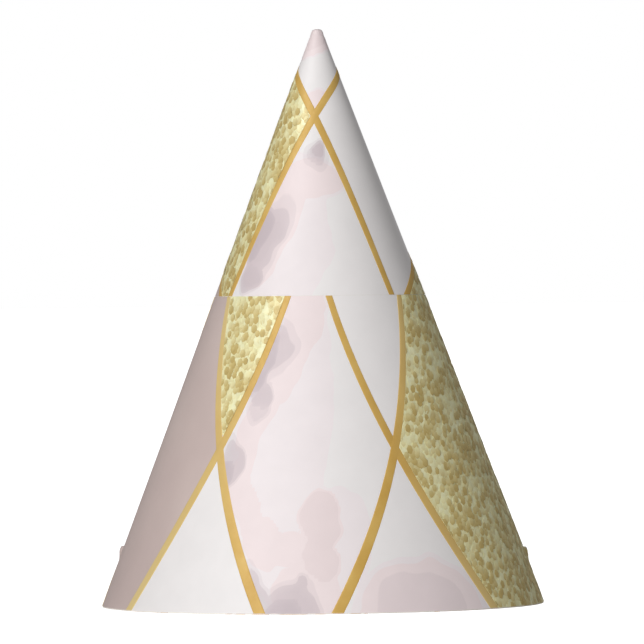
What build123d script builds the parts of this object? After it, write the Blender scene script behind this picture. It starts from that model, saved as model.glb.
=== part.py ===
from build123d import *
from math import asinh, atan2, cos, degrees, hypot, radians, sin, sinh, sqrt, tan
import os

# Party hat: a rolled card cone in two printed tiers, with gold foil lines and glitter panels.
# Millimetres, +Z up, origin at the centre of the hem. Azimuth 0 is the front (-Y) and grows towards +X.

# ---- driving dimensions ----------------------------------------------------------------------------
HAT_HEIGHT = 190.5              # hem to the blunt point
HEM_RADIUS = 73.05              # outside of the printed paper at the hem
APEX_Z = 194.4                  # where the straight sides would meet
BREAK_Z = 102.3                 # level line between the two printed tiers

PAPER = 0.15                    # printed covers
CARD = 0.40                     # rolled card blank
TAPE = 0.10                     # adhesive strip on the glue tab
FOIL = 0.12                     # gold foil and glitter film

HEM_REVEAL = 0.4                # raw card edge left showing under the lower cover
TIER_GAP = 0.1                  # hairline between the two printed tiers
CARD_TOP_Z = 189.3              # the card is rolled to a tight, closed point
CARD_CEILING_Z = 187.2          # inside of that point
NOSE_FILLET = 1.1               # the printed paper rounds the point off
SEAM_GAP = 0.3                  # butt joint of the rolled blank, at the back
SEAM_TOP_Z = 186.0
TAB_ANGLE = 9.5                 # glue tab, about 12 mm wide at the hem
TAB_TOP_Z = 165.0
TAB_BOTTOM_Z = 1.0
JOGGLE_ANGLE = 1.8              # the tab starts this far short of the joint, behind the wall it grows from
JOGGLE_STEP = 1.0               # and is joined to it over this angle
TAPE_START = 0.5
TAPE_MARGIN = 2.0

SLITS = ((-90.0, 20.0), (90.0, 18.4))            # azimuth and height of the slits for the chin elastic
SLIT_GAP = 0.2
LIP_WIDTH = 4.6                 # the wall under each slit is pushed out into a lip
LIP_LENGTH = 5.3
LIP_RISE = 1.0
LIP_PROFILE = ((0.0, 1.0), (0.35, 0.94), (0.75, 0.28), (1.03, 0.0))      # share of its length, share of its rise
LIP_OVERLAP = 0.15              # how far the lip runs into the wall it grows from
LIP_CLEARANCE = 0.02            # at the sides, between one layer's lip and the next layer
CARD_THINNING = 0.10            # pushing a lip out thins each layer by this on both faces
PAPER_THINNING = 0.04
FILM_THINNING = 0.02
SLIT_REACH = 3.0

# lower tier: pairs of lines that cross at these azimuths, with degrees of turn for each mm of height
CROSS_Z = 52.7
LOWER_CROSSINGS = ((-180.0, 0.43), (-110.0, 0.43), (-38.3, 0.42), (26.7, 0.44), (119.0, 0.62), (180.0, 0.43))
LOWER_WIDTH_TOP = 2.15
LOWER_WIDTH_HEM = 3.6

# upper tier: straight lines on the flat blank, as (direction in degrees, distance) of their foot from its apex
UPPER_LINES = ((-65.8, 15.5), (-65.8, 74.2), (114.2, 43.1), (59.7, 16.8), (59.7, 75.2), (-120.3, 41.7))
UPPER_WIDTH = 2.4

# glitter panels, each named by its tier and by one (azimuth, z) inside it
GLITTER_PANELS = {
    "glitter_upper_left": ("upper", -71.0, 128.9),
    "glitter_upper_right": ("upper", 99.5, 108.3),
    "glitter_wedge_front": ("lower", -38.3, 90.0),
    "glitter_diamond_right": ("lower", 59.2, CROSS_Z),
    "glitter_wedge_right": ("lower", 119.0, 90.0),
    "glitter_diamond_back": ("lower", -145.0, CROSS_Z),
}

LIPPED_PANEL = "glitter_diamond_right"           # this panel runs over the lip on the right

LINE_OVERRUN = 2.5              # how far a line is drawn past the edge that trims it
BAND_DEPTH = 1.2                # the drawn band straddles the wall by half of this
STATION_STEP = 0.16

# ---- derived ---------------------------------------------------------------------------------------
SLOPE = HEM_RADIUS / APEX_Z
HALF_ANGLE = atan2(HEM_RADIUS, APEX_Z)
BLANK_EDGE = 180.0 * sin(HALF_ANGLE)             # half the angle of the flat blank
BREAK_SLANT = (APEX_Z - BREAK_Z) / cos(HALF_ANGLE)
CARD_OUT = -PAPER
CARD_IN = CARD_OUT - CARD
TAB_OUT = CARD_IN - TAPE
TAB_IN = TAB_OUT - CARD
JOGGLE_START = 180.0 - JOGGLE_ANGLE

os.makedirs("parts", exist_ok=True)


# ---- the cone --------------------------------------------------------------------------------------
def cone_radius(z, offset=0.0):
    """Radius at height z of the cone that lies `offset` outside the printed face."""
    return (APEX_Z - z) * SLOPE + offset / cos(HALF_ANGLE)


def on_cone(azimuth, z, offset=0.0):
    r = cone_radius(z, offset)
    return Vector(r * sin(radians(azimuth)), -r * cos(radians(azimuth)), z)


def outward(azimuth):
    flat = cos(HALF_ANGLE)
    return Vector(flat * sin(radians(azimuth)), -flat * cos(radians(azimuth)), sin(HALF_ANGLE))


def cone_layer(inner, outer, low, high, start=0.0, arc=360.0):
    """Adds a layer of the cone wall between two offsets, over `arc` degrees from azimuth `start`."""
    radial = Plane((0, 0, 0), x_dir=(sin(radians(start)), -cos(radians(start)), 0),
                   z_dir=(-cos(radians(start)), -sin(radians(start)), 0))
    with BuildSketch(radial) as profile:
        with BuildLine():
            Polyline((cone_radius(low, inner), low), (cone_radius(low, outer), low),
                     (cone_radius(high, outer), high), (cone_radius(high, inner), high), close=True)
        make_face()
    revolve(profile.sketch, axis=Axis.Z, revolution_arc=arc)


def cut_seam(top):
    """Opens the butt joint at the back, right through the wall."""
    reach = 2 * HEM_RADIUS
    with Locations((0, reach / 2, 0)):
        Box(SEAM_GAP, reach, top, align=(Align.CENTER, Align.CENTER, Align.MIN), mode=Mode.SUBTRACT)


# ---- lines of foil ---------------------------------------------------------------------------------
def band(stations, widths):
    """A strip that straddles the wall and follows (azimuth, z) stations, for cutting a layer."""
    points = [on_cone(azimuth, z) for azimuth, z in stations]
    ends = [points[0]] + points[:-1], points[1:] + [points[-1]]
    with BuildPart() as strip:
        for (azimuth, _), point, before, after, width in zip(stations, points, *ends, widths):
            along = (after - before).normalized()
            normal = outward(azimuth)
            across = along.cross(normal).normalized()
            with BuildSketch(Plane(point, x_dir=across, z_dir=along)):
                Rectangle(width, BAND_DEPTH)
        loft()
        side = -1 if stations[len(stations) // 2][0] > 0 else 1
        reach = 2 * HEM_RADIUS
        with Locations((side * reach / 2, reach / 2, 0)):
            Box(reach, reach, 3 * HAT_HEIGHT, mode=Mode.SUBTRACT)
    return strip.part


def lower_band(azimuth, turn):
    count = 9
    low = -LINE_OVERRUN
    high = BREAK_Z + LINE_OVERRUN
    heights = [low + (high - low) * i / (count - 1) for i in range(count)]
    stations = [(azimuth + turn * (z - CROSS_Z), z) for z in heights]
    grow = (LOWER_WIDTH_HEM - LOWER_WIDTH_TOP) / BREAK_Z
    return band(stations, [LOWER_WIDTH_HEM - grow * z for z in heights])


def upper_band(foot, distance):
    """Wraps a straight line of the flat blank, from the back seam to the break."""
    side = 1 if foot > 0 else -1
    seam_run = distance * tan(radians(side * BLANK_EDGE - foot)) + side * LINE_OVERRUN
    break_run = -side * (sqrt(BREAK_SLANT ** 2 - distance ** 2) + LINE_OVERRUN)
    first = asinh(seam_run / distance)              # even steps of asinh crowd the stations near the foot
    last = asinh(break_run / distance)
    count = max(5, round(abs(last - first) / STATION_STEP))
    stations = []
    for i in range(count):
        run = distance * sinh(first + (last - first) * i / (count - 1))
        turn = degrees(atan2(run, distance))
        slant = hypot(run, distance)
        stations.append(((foot + turn) / sin(HALF_ANGLE), APEX_Z - slant * cos(HALF_ANGLE)))
    return band(stations, [UPPER_WIDTH] * count)


lower_bands = [lower_band(azimuth, side * turn) for azimuth, turn in LOWER_CROSSINGS for side in (-1, 1)]
upper_bands = [upper_band(foot, distance) for foot, distance in UPPER_LINES]


# ---- slits for the chin elastic --------------------------------------------------------------------
def slit_axes(azimuth, z):
    """Point on the printed face at a slit, and the directions across and up the wall there."""
    across = Vector(cos(radians(azimuth)), sin(radians(azimuth)), 0)
    return on_cone(azimuth, z), across, outward(azimuth).cross(across)


def cut_slits(margin):
    """Opens the wall at each slit and over the lip below it, `margin` past the lip at its sides."""
    for azimuth, z in SLITS:
        point, across, up = slit_axes(azimuth, z)
        middle = point + up * ((SLIT_GAP - LIP_LENGTH) / 2)
        with BuildSketch(Plane(middle, x_dir=across, z_dir=outward(azimuth))) as window:
            Rectangle(LIP_WIDTH + 2 * margin, LIP_LENGTH + SLIT_GAP)
        extrude(window.sketch, amount=SLIT_REACH, both=True, mode=Mode.SUBTRACT)


def lip(azimuth, z, inner, outer, margin):
    """The arched lip of one layer, open at the slit and flowing into the wall at its sides and foot."""
    point, across, up = slit_axes(azimuth, z)
    half = LIP_WIDTH / 2 + margin + LIP_OVERLAP
    bow = half ** 2 * cos(HALF_ANGLE) / (2 * cone_radius(z))             # how much the wall itself is arched
    with BuildPart() as shell:
        for share, height in LIP_PROFILE:
            arch = bow + height * LIP_RISE
            with BuildSketch(Plane(point - up * (share * LIP_LENGTH), x_dir=-across, z_dir=up)):
                with BuildLine():
                    ThreePointArc((-half, outer - bow), (0, outer - bow + arch), (half, outer - bow))
                    Line((half, outer - bow), (half, inner - bow))
                    ThreePointArc((half, inner - bow), (0, inner - bow + arch), (-half, inner - bow))
                    Line((-half, inner - bow), (-half, outer - bow))
                make_face()
        loft(ruled=True)
    return shell.part


# ---- card and tape ---------------------------------------------------------------------------------
with BuildPart() as card_cone:
    with BuildSketch(Plane.XZ):
        with BuildLine():
            Polyline((cone_radius(0, CARD_IN), 0), (cone_radius(0, CARD_OUT), 0),
                     (cone_radius(CARD_TOP_Z, CARD_OUT), CARD_TOP_Z), (0, CARD_TOP_Z), (0, CARD_CEILING_Z),
                     (cone_radius(CARD_CEILING_Z, CARD_IN), CARD_CEILING_Z), close=True)
        make_face()
    revolve(axis=Axis.Z)
    cut_seam(SEAM_TOP_Z)
    cut_slits(0.0)
    for azimuth, z in SLITS:
        add(lip(azimuth, z, CARD_IN + CARD_THINNING, CARD_OUT - CARD_THINNING, 0.0))
    cone_layer(TAB_IN, TAB_OUT, TAB_BOTTOM_Z, TAB_TOP_Z, JOGGLE_START, TAB_ANGLE + JOGGLE_ANGLE)
    cone_layer(TAB_IN, (CARD_IN + CARD_OUT) / 2, TAB_BOTTOM_Z, TAB_TOP_Z, JOGGLE_START, JOGGLE_STEP)
card_cone.part.label = "card_cone"
export_step(card_cone.part, "parts/card_cone.step")

with BuildPart() as tab_tape:
    tape_low = TAB_BOTTOM_Z + TAPE_MARGIN
    tape_high = TAB_TOP_Z - TAPE_MARGIN
    cone_layer(TAB_OUT, CARD_IN, tape_low, tape_high, 180.0 + TAPE_START, TAB_ANGLE - 2 * TAPE_START)
tab_tape.part.label = "tab_tape"
export_step(tab_tape.part, "parts/tab_tape.step")


# ---- printed covers --------------------------------------------------------------------------------
with BuildPart() as cover_upper:
    low = BREAK_Z + TIER_GAP / 2
    with BuildSketch(Plane.XZ):
        with BuildLine():
            Polyline((cone_radius(low, CARD_OUT), low), (cone_radius(low), low),
                     (cone_radius(HAT_HEIGHT), HAT_HEIGHT), (0, HAT_HEIGHT), (0, CARD_TOP_Z),
                     (cone_radius(CARD_TOP_Z, CARD_OUT), CARD_TOP_Z), close=True)
        make_face()
    revolve(axis=Axis.Z)
    fillet(edges().group_by(Axis.Z)[-1], NOSE_FILLET)
    cut_seam(SEAM_TOP_Z)
cover_upper.part.label = "cover_upper"
export_step(cover_upper.part, "parts/cover_upper.step")

with BuildPart() as cover_lower:
    cone_layer(CARD_OUT, 0.0, HEM_REVEAL, BREAK_Z - TIER_GAP / 2)
    cut_seam(BREAK_Z)
    cut_slits(LIP_OVERLAP + LIP_CLEARANCE)
    for azimuth, z in SLITS:
        add(lip(azimuth, z, CARD_OUT + PAPER_THINNING, -PAPER_THINNING, LIP_OVERLAP + LIP_CLEARANCE))
cover_lower.part.label = "cover_lower"
export_step(cover_lower.part, "parts/cover_lower.step")


# ---- foil lines and glitter panels: one film, divided by the lines ---------------------------------
def film_layer(low, high):
    cone_layer(0.0, FOIL, low, high)
    cut_seam(high)


LOWER_FILM = (HEM_REVEAL, BREAK_Z - TIER_GAP / 2)
UPPER_FILM = (BREAK_Z + TIER_GAP / 2, SEAM_TOP_Z)

with BuildPart() as lower_cells:
    film_layer(*LOWER_FILM)
    for strip in lower_bands:
        add(strip, mode=Mode.SUBTRACT)

with BuildPart() as upper_cells:
    film_layer(*UPPER_FILM)
    for strip in upper_bands:
        add(strip, mode=Mode.SUBTRACT)

with BuildPart() as foil_net_lower:
    film_layer(*LOWER_FILM)
    add(lower_cells.part, mode=Mode.SUBTRACT)
foil_net_lower.part.label = "foil_net_lower"
export_step(foil_net_lower.part, "parts/foil_net_lower.step")

with BuildPart() as foil_net_upper:
    film_layer(*UPPER_FILM)
    add(upper_cells.part, mode=Mode.SUBTRACT)
foil_net_upper.part.label = "foil_net_upper"
export_step(foil_net_upper.part, "parts/foil_net_upper.step")

tiers = {"lower": lower_cells.solids(), "upper": upper_cells.solids()}
for name, (tier, azimuth, z) in GLITTER_PANELS.items():
    inside = on_cone(azimuth, z, FOIL / 2)
    with BuildPart() as panel:
        add([cell for cell in tiers[tier] if cell.is_inside(inside)])
        if name == LIPPED_PANEL:
            film_margin = 2 * (LIP_OVERLAP + LIP_CLEARANCE)
            cut_slits(film_margin)
            add(lip(*SLITS[1], FILM_THINNING, FOIL - FILM_THINNING, film_margin))
    panel.part.label = name
    export_step(panel.part, f"parts/{name}.step")
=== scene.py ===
import bpy
import math
import random
from mathutils import Matrix, Vector, noise


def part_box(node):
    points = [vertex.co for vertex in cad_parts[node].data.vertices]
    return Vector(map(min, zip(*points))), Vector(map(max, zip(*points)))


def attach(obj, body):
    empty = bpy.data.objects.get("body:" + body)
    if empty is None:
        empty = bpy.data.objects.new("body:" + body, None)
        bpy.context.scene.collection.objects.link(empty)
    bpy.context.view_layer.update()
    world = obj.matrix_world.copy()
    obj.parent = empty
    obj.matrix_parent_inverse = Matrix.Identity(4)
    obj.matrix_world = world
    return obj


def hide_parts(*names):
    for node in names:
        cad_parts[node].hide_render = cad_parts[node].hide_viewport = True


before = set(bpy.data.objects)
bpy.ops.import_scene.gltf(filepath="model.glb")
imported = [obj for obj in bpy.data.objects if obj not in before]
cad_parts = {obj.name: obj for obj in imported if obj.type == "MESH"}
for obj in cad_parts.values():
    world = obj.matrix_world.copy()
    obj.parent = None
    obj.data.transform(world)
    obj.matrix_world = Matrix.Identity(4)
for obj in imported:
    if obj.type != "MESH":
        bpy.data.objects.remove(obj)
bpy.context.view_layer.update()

BODY = "root"
MM = 0.001

# The wall is laid out in millimetres: azimuth in degrees (0 is the front, -Y, growing towards +X), height z,
# and an offset outside the printed face. place() turns that into metres.

# ---- sizes read from the frame ------------
lower_low, lower_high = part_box("cover_lower")
upper_low, upper_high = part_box("cover_upper")
_, card_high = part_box("card_cone")
HEM_Z = lower_low.z / MM
LOWER_TOP_Z = lower_high.z / MM
UPPER_LOW_Z = upper_low.z / MM
TOP_Z = upper_high.z / MM
BREAK_Z = (LOWER_TOP_Z + UPPER_LOW_Z) / 2
SLOPE = (lower_high.x - upper_high.x) / (upper_low.z - lower_low.z)
APEX_Z = HEM_Z + lower_high.x / MM / SLOPE
HALF_ANGLE = math.atan(SLOPE)
BLANK_EDGE = 180 * math.sin(HALF_ANGLE)          # half the angle of the flat blank, in degrees

# ---- layers of the wall, as in the CAD model ------------
PAPER = 0.15
CARD = 0.40
TAPE = 0.10
FOIL = 0.12
CARD_OUT = -PAPER
CARD_IN = CARD_OUT - CARD
TAB_OUT = CARD_IN - TAPE
TAB_BOTTOM_Z = 1.0
TAB_TOP_Z = 165.0
SEAM_GAP = 0.3
SEAM_TOP_Z = 186.0
SEAM_EASE = 170.0               # degrees; the wall's columns are drawn in to the seam from here on
CARD_CEILING_Z = 187.2

# ---- the lines of the artwork ------------
# Two lines of the lower tier meet at each crossing: its azimuth, and the degrees they turn for each mm.
CROSS_Z = 52.7
LOWER_CROSSINGS = ((-180.0, 0.43), (-110.0, 0.43), (-38.3, 0.42), (26.7, 0.44), (119.0, 0.62), (180.0, 0.43))
LOWER_WIDTH_TOP = 2.15
LOWER_WIDTH_HEM = 3.6
# Each upper line is straight on the flat blank: direction, in degrees, and distance of its point nearest the
# apex.
UPPER_LINES = ((-65.8, 15.5), (-65.8, 74.2), (114.2, 43.1), (59.7, 16.8), (59.7, 75.2), (-120.3, 41.7))
UPPER_WIDTH = 2.4

# ---- the slits for the chin elastic ------------
SLITS = ((-90.0, 20.0), (90.0, 18.4))
SLIT_GAP = 0.2
LIP_WIDTH = 4.6
LIP_LENGTH = 5.3
LIP_RISE = 1.0
LIP_CREST = 0.16                # share of its length before a lip starts to fall back to the wall
LIP_DROOP = 0.22                # its free edge sinks by this share, over the same share of its length
LIP_ARCH = 1.3                  # power of its arch from side to side


# ---- wall geometry ------------
OVAL = 0.22                     # mm that the hem is out of round, wider from side to side
SWELL = 0.10                    # mm of soft unevenness in the rolled paper
SWELL_HEIGHT = 38.0             # mm from one swell to the next going up
SWELL_TURNS = 2.2               # how closely they follow one another round the wall
STIFF_POINT = 60.0              # mm below the apex in which the paper is held ever closer to the cone


def clamped(value):
    return min(1.0, max(0.0, value))


def eased(share):
    return share * share * (3 - 2 * share)


def steps(first, last, count):
    return [first + (last - first) * i / count for i in range(count + 1)]


def give(azimuth, z):
    """How far the rolled paper strays from a true cone: a slight oval and soft, shallow swells."""
    turn = math.radians(azimuth)
    oval = -OVAL * math.cos(2 * turn) * (1 - z / APEX_Z)
    where = Vector((math.sin(turn) * SWELL_TURNS, math.cos(turn) * SWELL_TURNS, z / SWELL_HEIGHT))
    return (oval + SWELL * noise.noise(where)) * clamped((APEX_Z - z) / STIFF_POINT)


def place(azimuth, z, offset=0.0):
    turn = math.radians(azimuth)
    r = (APEX_Z - z) * SLOPE + offset / math.cos(HALF_ANGLE) + give(azimuth, z)
    return Vector((r * math.sin(turn), -r * math.cos(turn), z)) * MM


def radius_at(z):
    return (APEX_Z - z) * SLOPE


def to_flat(azimuth, z):
    """The same point on the flat blank, whose apex is the origin and whose front line points along +v."""
    slant = (APEX_Z - z) / math.cos(HALF_ANGLE)
    turn = math.radians(azimuth) * math.sin(HALF_ANGLE)
    return slant * math.sin(turn), slant * math.cos(turn)


def from_flat(u, v):
    turn = math.atan2(u, v)
    return math.degrees(turn) / math.sin(HALF_ANGLE), APEX_Z - math.hypot(u, v) * math.cos(HALF_ANGLE)


def seam_azimuth(z):
    """Azimuth of the right edge of the seam; the left edge is its negative."""
    return 180 - math.degrees(SEAM_GAP / 2 / radius_at(z))


def drawn_in(azimuth, z):
    """Moves the last few degrees of the wall up to the seam's edge, so that no two columns meet there."""
    beyond = abs(azimuth) - SEAM_EASE
    if beyond <= 0:
        return azimuth
    reach = (seam_azimuth(z) - SEAM_EASE) / (180 - SEAM_EASE)
    return math.copysign(SEAM_EASE + beyond * reach, azimuth)


def lower_line(crossing, side, z):
    """Azimuth of a line through a crossing; side is +1 for the one that moves right as it rises, or -1."""
    azimuth, turn = crossing
    return azimuth + side * turn * (z - CROSS_Z)


def lower_width(z):
    return LOWER_WIDTH_HEM + (LOWER_WIDTH_TOP - LOWER_WIDTH_HEM) * z / BREAK_Z


def lower_half_turn(crossing, z):
    """Half of a lower line's width, in degrees of azimuth along a level line."""
    lean = radius_at(z) * math.radians(crossing[1]) * math.cos(HALF_ANGLE)
    return math.degrees(lower_width(z) / 2 * math.hypot(1, lean) / radius_at(z))


# ---- meshes ------------
SHARP_ANGLE = math.radians(32)


def new_piece(name, verts, faces, material, slot, *nodes):
    mesh = bpy.data.meshes.new(name)
    mesh.from_pydata(verts, [], faces)
    mesh.materials.append(material)
    mesh.shade_smooth()
    mesh.set_sharp_from_angle(angle=SHARP_ANGLE)
    piece = bpy.data.objects.new(name, mesh)
    bpy.context.scene.collection.objects.link(piece)
    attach(piece, BODY)
    if nodes:
        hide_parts(*nodes)
    return piece


class Solids:
    """Collects closed solids, each a grid of points with an outer and an inner face."""

    def __init__(self):
        self.verts = []
        self.faces = []
        self.tags = []

    def sheet(self, outer, inner, tags=None, keep=None, round_trip=False):
        """outer and inner are equal grids of points [row][column]; keep(row, column) drops cells."""
        rows, cols = len(outer), len(outer[0])
        base = len(self.verts)
        for grid in (outer, inner):
            for row in grid:
                self.verts.extend(row)
        for _ in range(2):
            for r in range(rows):
                for c in range(cols):
                    self.tags.append(tags[r][c] if tags else None)
        across = cols if round_trip else cols - 1
        kept = {(r, c) for r in range(rows - 1) for c in range(across) if keep is None or keep(r, c)}

        def out(r, c):
            return base + r * cols + c % cols

        def inn(r, c):
            return out(r, c) + rows * cols

        def is_kept(r, c):
            return (r, c % across if round_trip else c) in kept

        for r, c in sorted(kept):
            self.faces.append((out(r, c), out(r, c + 1), out(r + 1, c + 1), out(r + 1, c)))
            self.faces.append((inn(r, c), inn(r + 1, c), inn(r + 1, c + 1), inn(r, c + 1)))
            if not is_kept(r - 1, c):
                self.faces.append((out(r, c), inn(r, c), inn(r, c + 1), out(r, c + 1)))
            if not is_kept(r + 1, c):
                self.faces.append((out(r + 1, c + 1), inn(r + 1, c + 1), inn(r + 1, c), out(r + 1, c)))
            if not is_kept(r, c - 1):
                self.faces.append((out(r + 1, c), inn(r + 1, c), inn(r, c), out(r, c)))
            if not is_kept(r, c + 1):
                self.faces.append((out(r, c + 1), inn(r, c + 1), inn(r + 1, c + 1), out(r + 1, c + 1)))

    def piece(self, name, material, slot, *nodes):
        used = sorted({i for face in self.faces for i in face})
        new = {old: i for i, old in enumerate(used)}
        verts = [self.verts[i] for i in used]
        faces = [tuple(new[i] for i in face) for face in self.faces]
        made = new_piece(name, verts, faces, material, slot, *nodes)
        tags = [self.tags[i] for i in used]
        if any(tags):
            for key in sorted({k for tag in tags if tag for k in tag}):
                attribute = made.data.attributes.new(key, "FLOAT", "POINT")
                attribute.data.foreach_set("value", [tag.get(key, 0.0) if tag else 0.0 for tag in tags])
        return made


# ---- materials ------------
def srgb(red, green, blue):
    def linear(value):
        value /= 255
        return value / 12.92 if value <= 0.04045 else ((value + 0.055) / 1.055) ** 2.4
    return linear(red), linear(green), linear(blue), 1.0


class Shader:
    """A node material with a Principled surface, and short helpers to build what feeds it."""

    def __init__(self, name, roughness, **fixed):
        self.material = bpy.data.materials.new(name)
        self.material.use_nodes = True
        self.tree = self.material.node_tree
        self.surface = self.tree.nodes["Principled BSDF"]
        self.surface.inputs["Roughness"].default_value = roughness
        for key, value in fixed.items():
            self.surface.inputs[key.replace("_", " ")].default_value = value

    def node(self, kind, **settings):
        made = self.tree.nodes.new(kind)
        for key, value in settings.items():
            setattr(made, key, value)
        return made

    def link(self, source, target):
        if isinstance(source, (int, float, tuple)):
            target.default_value = source
        else:
            self.tree.links.new(source, target)

    def feed(self, name, source):
        self.link(source, self.surface.inputs[name])

    def attribute(self, name):
        return self.node("ShaderNodeAttribute", attribute_name=name).outputs["Fac"]

    def noise(self, size, detail=3.0, roughness=0.5, distortion=0.0):
        """Noise whose largest features are about `size` millimetres."""
        made = self.node("ShaderNodeTexNoise")
        made.inputs["Scale"].default_value = 1 / (size * MM)
        made.inputs["Detail"].default_value = detail
        made.inputs["Roughness"].default_value = roughness
        made.inputs["Distortion"].default_value = distortion
        self.link(self.node("ShaderNodeTexCoord").outputs["Object"], made.inputs["Vector"])
        return made.outputs["Fac"]

    def ramp(self, source, stops):
        """stops is (position, value or colour), in order."""
        made = self.node("ShaderNodeValToRGB")
        elements = made.color_ramp.elements
        while len(elements) < len(stops):
            elements.new(1.0)
        for element, (position, value) in zip(elements, stops):
            element.position = position
            element.color = value if isinstance(value, tuple) else (value, value, value, 1.0)
        self.link(source, made.inputs["Fac"])
        return made.outputs["Color"]

    def mix(self, factor, first, second, kind="MIX"):
        """Sockets 6, 7 and 2 of the node are the ones for colours."""
        made = self.node("ShaderNodeMix", data_type="RGBA", blend_type=kind)
        self.link(factor, made.inputs[0])
        self.link(first, made.inputs[6])
        self.link(second, made.inputs[7])
        return made.outputs[2]

    def bump(self, height, depth):
        """Relief `depth` millimetres deep."""
        made = self.node("ShaderNodeBump")
        made.inputs["Distance"].default_value = depth * MM
        self.link(height, made.inputs["Height"])
        self.feed("Normal", made.outputs["Normal"])


WHITE = srgb(242, 238, 237)
LAVENDER = srgb(243, 234, 235)
PINK = srgb(243, 228, 228)
ROSE = srgb(238, 222, 222)
LILAC = srgb(206, 192, 196)
MAUVE = srgb(201, 182, 177)
PALE_MAUVE = srgb(207, 189, 183)
GOLD = srgb(211, 172, 92)
# painted sheen: the paler gold that the lower foil lines are painted towards both sides of the hat
PAINTED_SHEEN_GOLD = srgb(226, 202, 141)


def print_material():
    """Coated printed paper: pale washes whose edges step like dried watercolour."""
    s = Shader("printed_paper", roughness=0.55, Specular_IOR_Level=0.35)
    colour = s.ramp(s.attribute("blush"), ((0.0, WHITE), (0.16, WHITE), (0.20, LAVENDER), (0.46, LAVENDER),
                                           (0.52, PINK), (0.76, PINK), (0.82, ROSE), (1.0, ROSE)))
    stain = s.ramp(s.attribute("stain"), ((0.0, 0.0), (0.14, 0.0), (0.18, 0.22), (0.34, 0.28), (0.38, 0.62),
                                          (0.60, 0.72), (0.65, 0.90), (0.95, 1.0)))
    mottle = s.ramp(s.noise(9.0, detail=4.0), ((0.35, 0.975), (0.65, 1.0)))
    colour = s.mix(stain, colour, LILAC)
    dusk = s.mix(s.ramp(s.noise(45.0, detail=2.0), ((0.35, 0.0), (0.65, 1.0))), MAUVE, PALE_MAUVE)
    colour = s.mix(s.attribute("dusk"), colour, dusk)
    colour = s.mix(1.0, colour, mottle, "MULTIPLY")
    s.feed("Base Color", colour)
    s.feed("Roughness", s.ramp(s.noise(1.6), ((0.3, 0.50), (0.7, 0.60))))
    s.bump(s.noise(0.5, detail=5.0, roughness=0.7), 0.012)
    return s.material


def foil_material():
    """Satin gold film with a fine, uneven grain, and a painted sheen: a paler gold where the painted sheen
    attribute says.
    """
    s = Shader("gold_foil", roughness=0.5, Metallic=0.05, Specular_IOR_Level=0.25)
    grain = s.noise(14.0, detail=5.0, roughness=0.6)
    tone = s.ramp(grain, ((0.3, srgb(204, 163, 82)), (0.5, GOLD), (0.7, srgb(218, 183, 105))))
    s.feed("Base Color", s.mix(s.attribute("painted_sheen"), tone, PAINTED_SHEEN_GOLD))
    s.feed("Roughness", s.ramp(s.noise(0.8, detail=4.0), ((0.3, 0.42), (0.7, 0.58))))
    s.bump(s.noise(1.2, detail=5.0, roughness=0.65), 0.02)
    return s.material


def glitter_base_material():
    """The palest gold, seen between the flakes."""
    s = Shader("glitter_film", roughness=0.5, Specular_IOR_Level=0.3)
    tone = s.ramp(s.noise(5.0, detail=4.0), ((0.3, srgb(243, 238, 184)), (0.7, srgb(248, 246, 202))))
    s.feed("Base Color", tone)
    s.bump(s.noise(0.7, detail=4.0), 0.02)
    return s.material


def flake_material():
    """Each flake has its own depth of gold, with painted shade making it a little darker towards its lower
    right.
    """
    s = Shader("glitter_flakes", roughness=0.45, Metallic=0.05, Specular_IOR_Level=0.35)
    tone = s.ramp(s.attribute("tone"), ((0.0, srgb(248, 246, 203)), (0.35, srgb(240, 232, 178)),
                                        (0.6, srgb(226, 210, 150)), (0.8, srgb(213, 192, 126)),
                                        (1.0, srgb(200, 174, 106))))
    cloud = s.ramp(s.noise(2.0, detail=3.0), ((0.3, 0.90), (0.7, 1.0)))
    s.feed("Base Color", s.mix(1.0, tone, cloud, "MULTIPLY"))
    s.feed("Roughness", s.ramp(s.noise(0.6), ((0.3, 0.36), (0.7, 0.54))))
    return s.material


def card_material():
    """Uncoated white card: fibres, a faint grain, and ink where `bleed` is 0.5 (mauve) or 1 (gold)."""
    s = Shader("card_board", roughness=0.85, Specular_IOR_Level=0.2)
    grain = s.noise(0.9, detail=6.0, roughness=0.7, distortion=1.5)
    fibre = s.ramp(grain, ((0.3, srgb(226, 222, 214)), (0.7, srgb(243, 240, 234))))
    bleed = s.attribute("bleed")
    rim = s.mix(s.ramp(bleed, ((0.30, 0.0), (0.40, 1.0), (0.60, 1.0), (0.70, 0.0))), fibre, MAUVE)
    s.feed("Base Color", s.mix(s.ramp(bleed, ((0.75, 0.0), (0.85, 1.0))), rim, GOLD))
    s.bump(s.noise(0.35, detail=6.0, roughness=0.75), 0.03)
    return s.material


def tape_material():
    s = Shader("adhesive_tape", roughness=0.3, Specular_IOR_Level=0.5)
    tone = s.ramp(s.noise(4.0, detail=4.0), ((0.3, srgb(214, 208, 186)), (0.7, srgb(232, 228, 210))))
    s.feed("Base Color", tone)
    s.bump(s.noise(1.5, detail=3.0), 0.02)
    return s.material


PRINT = print_material()
GOLD_FOIL = foil_material()
GLITTER_BASE = glitter_base_material()
FLAKES = flake_material()
CARD_BOARD = card_material()
TAPE_FILM = tape_material()

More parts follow.
